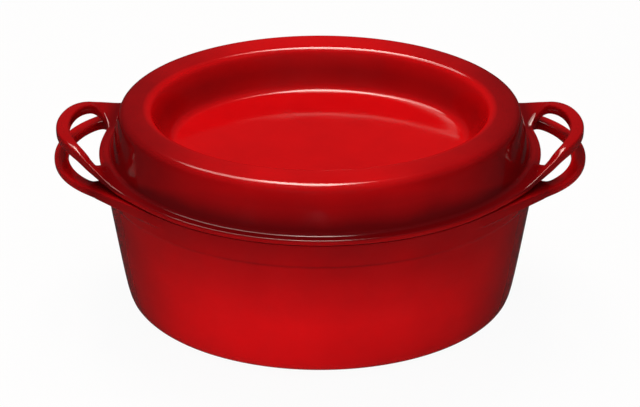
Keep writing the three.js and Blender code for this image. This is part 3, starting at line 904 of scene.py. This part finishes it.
class CASSEROLE_OT_pot(bpy.types.Operator):
    """Casts the pot with the loops at both ends of its rim"""

    bl_idname = "casserole.pot"
    bl_label = "Pot"

    def execute(self, context):
        sizes, loops, look = part_settings(context)
        plan = pot_loop_plan(sizes, loops)
        rim_top = sizes.pot_height
        loop_bottom = rim_top - loops.pot_thickness
        foot_ring = sizes.foot_inset + sizes.foot_corner + sizes.foot_band
        recess = Corner(foot_ring + sizes.foot_recess, sizes.foot_recess)
        crease_top = rim_top - sizes.crease_drop
        crease_foot = crease_top - sizes.crease_run
        crease_end = crease_top - CREASE_SUPPORT * sizes.crease_run
        root_height = loop_bottom - loops.pot_flare
        root_corners = Corner(sizes.rim_set_back, rim_top), pot_wall_corner(sizes, loop_bottom)
        corners = [
            middle_of(recess, sizes),
            recess,
            Corner(foot_ring, 0.0, 0.0, sizes.foot_recess / 2),
            Corner(sizes.foot_inset, 0.0, 0.0, sizes.foot_corner),
            pot_wall_corner(sizes, crease_end, sizes.crease_depth),
            pot_wall_corner(sizes, crease_foot, sizes.crease_depth),
            pot_wall_corner(sizes, crease_top),
            pot_wall_corner(sizes, loop_bottom - FLARE_SUPPORT * loops.pot_flare),
            pot_wall_corner(sizes, root_height),
            *reversed(root_corners),
            *reversed(raised(cavity_corners(sizes), -sizes.coat_set)),
        ]

        def height_at(place, across, level):
            flare = 1 - smooth_step(plan.outside(*place), 0.0, loops.pot_flare_width)
            height = rim_top - loops.pot_thickness * (1 - level) / 2
            return height + min(0.0, level) * flare * loops.pot_flare / 2

        def loop_round_at(spot):
            outside = plan.outside(spot.x, spot.y)
            if outside > -2 * sizes.rim_round and spot.z > root_height + SAME_PLACE:
                out = smooth_step(outside, 0.0, FULL_ROUND_OUT)
                return sizes.rim_round + (loops.edge_round - sizes.rim_round) * out
            return 0.0

        piece = cast_with_loops("pot_casting", sizes, plan, corners, root_corners, height_at, loop_round_at)
        enamel = red_enamel("pot_cherry_enamel", look, sizes, pot_painted_shade)
        finish_piece(piece, enamel, "pot", "pot")
        return {"FINISHED"}


class CASSEROLE_OT_pot_lining(bpy.types.Operator):
    """Coats the pot's cavity and the top of its rim"""

    bl_idname = "casserole.pot_lining"
    bl_label = "Pot lining"

    def execute(self, context):
        sizes, loops, look = part_settings(context)
        angles = pot_loop_plan(sizes, loops).ray_angles()
        piece = oval_coat("pot_coat", sizes, angles, cavity_corners(sizes), upwards=False)
        finish_piece(piece, black_enamel(look), "pot", "pot_lining")
        return {"FINISHED"}


class CASSEROLE_OT_lid(bpy.types.Operator):
    """Casts the lid with its well and the loops at both ends of its flange"""

    bl_idname = "casserole.lid"
    bl_label = "Lid"

    def execute(self, context):
        sizes, loops, look = part_settings(context)
        plan = lid_loop_plan(sizes, loops)
        outside_corners = lid_top_corners(sizes)
        root_corners = outside_corners[-2:]
        underside = raised(lid_underside_corners(sizes), sizes.coat_set)
        corners = [*outside_corners, *reversed(underside)]
        root_thickness = root_corners[0].height - root_corners[1].height
        root_middle = (root_corners[0].height + root_corners[1].height) / 2

        def climb_at(place, across):
            run = plan.along(*place)
            passed = eased_ramp(run, loops.lid_level_to, loops.lid_climb_from, loops.lid_climb_ease)
            from_flange = plan.outside(*place) + across * plan.bar
            return (1 - passed) * smooth_step(from_flange, 0.0, loops.lid_blend)

        def height_at(place, across, level):
            climb = climb_at(place, across)
            thick = smooth_step(climb, 0.0, FULL_THICKNESS_AT)
            thickness = root_thickness + (loops.lid_thickness - root_thickness) * thick
            return root_middle + climb * loops.lid_lift + level * thickness / 2

        def loop_round_at(spot):
            if plan.outside(spot.x, spot.y) > -sizes.flange_round / 2:
                climb = climb_at((abs(spot.x), spot.y), 1.0)
                is_upper = spot.z > root_middle + climb * loops.lid_lift
                root_round = sizes.flange_round if is_upper else sizes.rim_round
                return root_round + (loops.edge_round - root_round) * min(1.0, climb / FULL_ROUND_AT)
            return 0.0

        piece = cast_with_loops("lid_casting", sizes, plan, corners, root_corners, height_at, loop_round_at)
        enamel = red_enamel("lid_cherry_enamel", look, sizes, lid_painted_shade)
        finish_piece(piece, enamel, "lid", "lid")
        return {"FINISHED"}


class CASSEROLE_OT_lid_lining(bpy.types.Operator):
    """Coats the lid's underside and sets the drip nubs under its well"""

    bl_idname = "casserole.lid_lining"
    bl_label = "Lid lining"

    def execute(self, context):
        sizes, loops, look = part_settings(context)
        corners = lid_underside_corners(sizes)
        angles = lid_loop_plan(sizes, loops).ray_angles()
        piece = oval_coat("lid_coat", sizes, angles, corners, upwards=True)
        nubs = self.drip_nubs(sizes, corners[1].height)
        make_active(piece)
        for nub in nubs:
            nub.select_set(True)
        bpy.ops.object.join()
        finish_piece(piece, black_enamel(look), "lid", "lid_lining")
        return {"FINISHED"}

    def drip_nubs(self, sizes, coat_face):
        """One dome, copied along oval rows under the well's floor"""
        bpy.ops.mesh.primitive_uv_sphere_add(
            segments=NUB_SEGMENTS, ring_count=NUB_RINGS, radius=sizes.nub_radius
        )
        first = bpy.context.active_object
        edit_all(first)
        flatten = (1.0, 1.0, sizes.nub_height / sizes.nub_radius)
        bpy.ops.transform.resize(value=flatten, center_override=(0, 0, 0))
        bpy.ops.mesh.bisect(
            plane_co=(0, 0, sizes.coat / 2), plane_no=(0, 0, 1), use_fill=True, clear_outer=True
        )
        bpy.ops.object.mode_set(mode="OBJECT")
        bpy.ops.object.shade_smooth_by_angle(angle=SMOOTH_TURN)
        nubs = []
        inset = sizes.well_floor_inset + sizes.nub_margin
        while inset < sizes.rim_width / 2 - sizes.nub_pitch / 2:
            for x, y in self.row_places(sizes, inset):
                nub = first.copy()
                nub.data = first.data.copy()
                nub.data.transform(Matrix.Translation((x, y, coat_face)))
                bpy.context.collection.objects.link(nub)
                nubs.append(nub)
            inset += sizes.nub_pitch
        bpy.data.objects.remove(first)
        return nubs

    def row_places(self, sizes, inset):
        """Points spaced evenly along an oval row"""
        half_length, half_width = half_axes(sizes, Corner(inset, 0.0))
        turns = [2 * pi * k / ARC_SAMPLES for k in range(ARC_SAMPLES + 1)]
        points = [Vector((half_length * cos(turn), half_width * sin(turn))) for turn in turns]
        run = [0.0]
        for before, after in zip(points, points[1:]):
            run.append(run[-1] + (after - before).length)
        count = round(run[-1] / sizes.nub_pitch)
        return [points[bisect_left(run, run[-1] * k / count)] for k in range(count)]


class CASSEROLE_OT_stage(bpy.types.Operator):
    """Lays the floor, hangs the lamps and sets up the camera"""

    bl_idname = "casserole.stage"
    bl_label = "Stage"

    def execute(self, context):
        stage = context.scene.casserole_stage
        self.lay_floor(stage)
        self.light_world(context.scene, stage)
        for lamp in LAMPS:
            self.hang_lamp(lamp, stage)
        self.place_camera(context.scene, stage)
        context.scene.view_settings.view_transform = "Standard"
        return {"FINISHED"}

    def lay_floor(self, stage):
        """A pale floor that holds the shadow: nearly white to the camera, and dim to the enamel"""
        bpy.ops.mesh.primitive_plane_add(size=FLOOR_SIZE, location=(0, 0, 0))
        floor = bpy.context.active_object
        floor.name = "floor"
        material = bpy.data.materials.new("pale_floor")
        maker = NodeMaker(material)
        shader = maker.nodes["Principled BSDF"]
        pale = (*stage.floor, 1.0)
        maker.feed(shader, {"Base Color": pale, "Roughness": FLOOR_ROUGHNESS, "Specular IOR Level": 0.0})
        rays = maker.nodes.new("ShaderNodeLightPath").outputs
        by_camera = maker.maths("MULTIPLY", rays["Is Camera Ray"], stage.floor_whiteness)
        seen = maker.maths("MAXIMUM", by_camera, rays["Is Glossy Ray"])
        brightness = maker.spread(rays["Is Glossy Ray"], (0.0, 1.0), (1.0, stage.floor_mirrored))
        white = maker.add("ShaderNodeEmission", {"Strength": brightness})
        mixed = {0: seen, 1: shader.outputs["BSDF"], 2: white.outputs["Emission"]}
        blend = maker.add("ShaderNodeMixShader", mixed)
        maker.feed(maker.nodes["Material Output"], {"Surface": blend.outputs["Shader"]})
        floor.data.materials.append(material)

    def light_world(self, scene, stage):
        """White to the camera, and a dark room with a darker horizon to the enamel"""
        scene.world = bpy.data.worlds.new("studio")
        maker = NodeMaker(scene.world)
        parts = maker.add("ShaderNodeSeparateXYZ", {"Vector": maker.coordinates("Generated")})
        room = maker.spread(parts.outputs["Z"], HORIZON_SPAN, (stage.horizon, stage.room))
        seen = maker.nodes.new("ShaderNodeLightPath").outputs["Is Camera Ray"]
        brightness = maker.maths("MAXIMUM", seen, room)
        white = (1.0, 1.0, 1.0, 1.0)
        maker.feed(maker.nodes["Background"], {"Color": white, "Strength": brightness})

    def hang_lamp(self, lamp, stage):
        """An area lamp that looks at a point, tinted where the enamel mirrors it"""
        turn = (Vector(lamp.aim) - Vector(lamp.place)).to_track_quat("-Z", "Y").to_euler()
        bpy.ops.object.light_add(type="AREA", location=lamp.place, rotation=turn)
        made = bpy.context.active_object
        made.name = lamp.name
        made.visible_camera = False
        made.visible_glossy = lamp.mirrored
        made.data.spread = radians(lamp.spread)
        made.data.shape = "ELLIPSE"
        made.data.size, made.data.size_y = lamp.size
        made.data.energy = lamp.power
        if lamp.mirrored:
            made.data.color = stage.lamp_tint

    def place_camera(self, scene, stage):
        """The camera at the photograph's viewing angle"""
        bpy.ops.object.camera_add(location=CAMERA_PLACE, rotation=(CAMERA_TILT, 0.0, 0.0))
        camera = bpy.context.active_object
        camera.data.lens = stage.lens
        scene.camera = camera


class CASSEROLE_PT_sidebar(bpy.types.Panel):
    """Lists the casserole's pieces in the 3D view's sidebar"""

    bl_idname = "CASSEROLE_PT_sidebar"
    bl_label = "Casserole"
    bl_space_type = "VIEW_3D"
    bl_region_type = "UI"
    bl_category = "Casserole"

    def draw(self, context):
        for operator in PIECES:
            self.layout.operator(operator.bl_idname)


PIECES = (
    CASSEROLE_OT_pot,
    CASSEROLE_OT_pot_lining,
    CASSEROLE_OT_lid,
    CASSEROLE_OT_lid_lining,
    CASSEROLE_OT_stage,
)
SETTINGS = {
    "casserole_sizes": CasseroleSizes,
    "casserole_loops": LoopSizes,
    "casserole_enamel": EnamelLook,
    "casserole_stage": StageLook,
}
CLASSES = (*SETTINGS.values(), *PIECES, CASSEROLE_PT_sidebar)


def register():
    for made in CLASSES:
        bpy.utils.register_class(made)
    for name, group in SETTINGS.items():
        setattr(bpy.types.Scene, name, PointerProperty(type=group))


def unregister():
    for name in SETTINGS:
        delattr(bpy.types.Scene, name)
    for made in reversed(CLASSES):
        bpy.utils.unregister_class(made)


def main():
    register()
    bpy.ops.casserole.pot()
    bpy.ops.casserole.pot_lining()
    bpy.ops.casserole.lid()
    bpy.ops.casserole.lid_lining()
    bpy.ops.casserole.stage()


if __name__ == "__main__":
    main()
